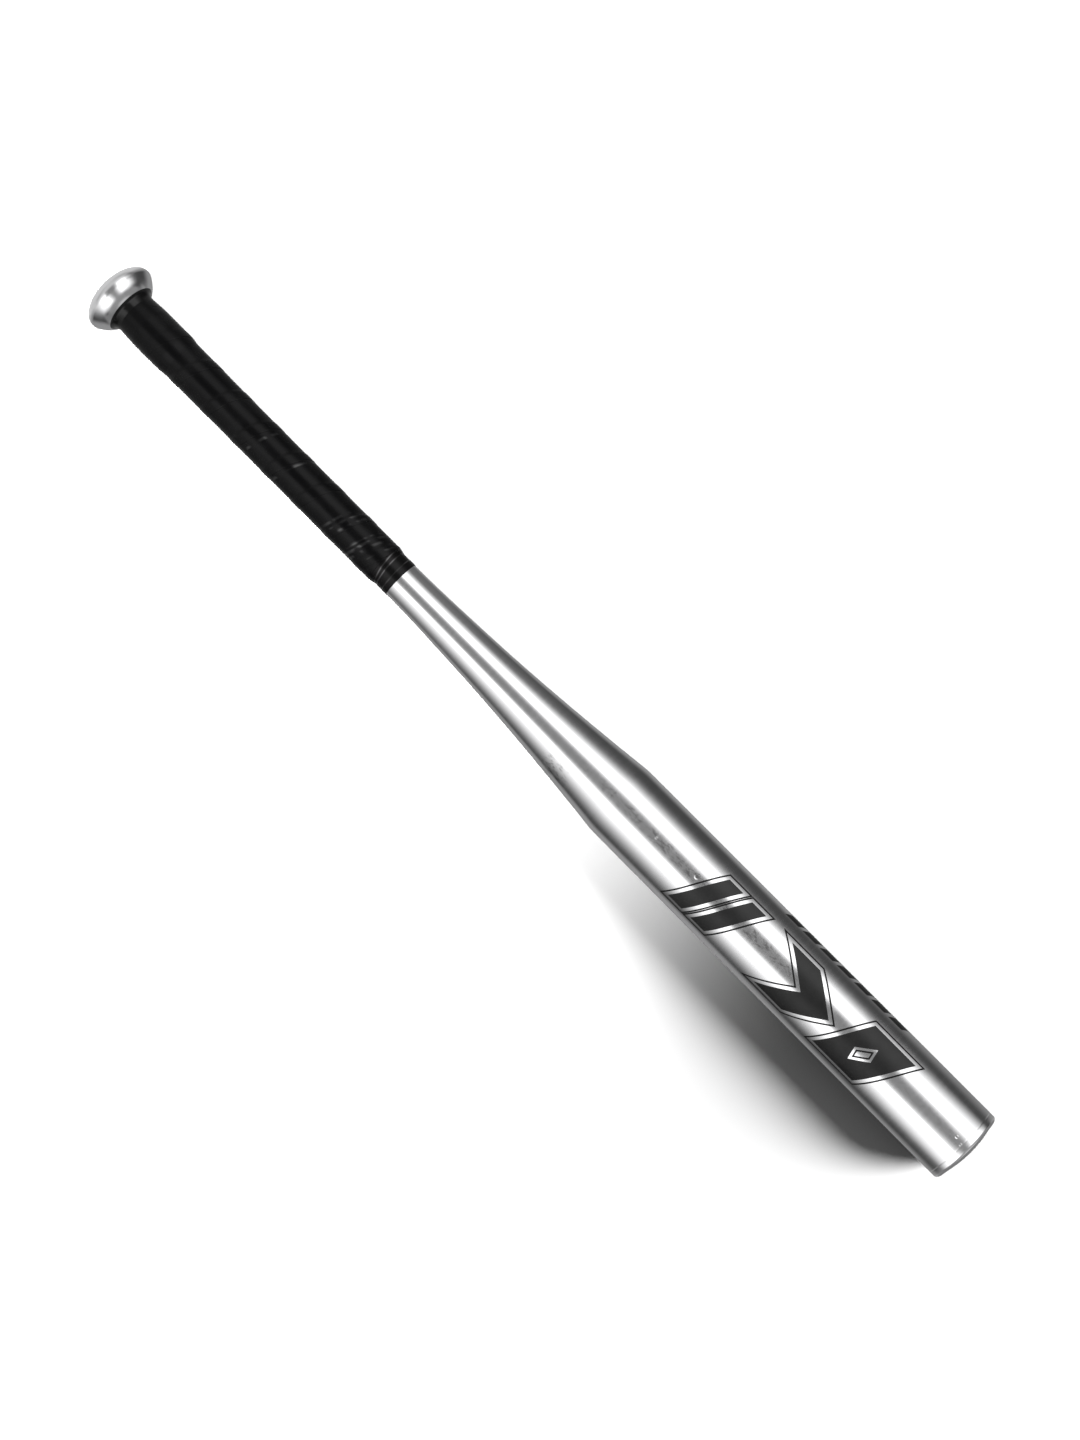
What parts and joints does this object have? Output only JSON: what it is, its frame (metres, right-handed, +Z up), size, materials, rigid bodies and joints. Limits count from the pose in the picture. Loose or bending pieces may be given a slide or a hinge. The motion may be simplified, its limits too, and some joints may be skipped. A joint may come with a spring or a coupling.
{
  "type": "baseball bat",
  "caption": "Hollow aluminium baseball bat with a long straight polished barrel, flared taper, wrapped black grip, rounded metal knob and a shallow domed end cap.",
  "frame": {"origin": "at ground level under the middle of the bat's length, one barrel radius straight below its axis", "axes": "+X along the bat's axis from the knob to the barrel's closed end, +Z up, +Y completes the right-hand frame"},
  "size_m": [0.813, 0.0538, 0.054],
  "materials": {
    "polished_tube": "polished",
    "satin_cap": "satin",
    "cast_knob": "satin",
    "plug_rubber": "matte",
    "collar_rubber": "gloss",
    "grip_leather": "satin",
    "vinyl_tape": "satin",
    "ink": "gloss",
    "foam": "matte"
  },
  "bodies": {
    "root": {"bat_tube": "polished_tube", "end_cap": "satin_cap", "barrel_damper": "foam", "knob": "cast_knob", "knob_plug": "plug_rubber", "knob_collar": "collar_rubber", "grip_wrap": "grip_leather", "finishing_tape": "vinyl_tape", "block_film": "ink", "stripe_film": "ink"}
  },
  "joints": []
}
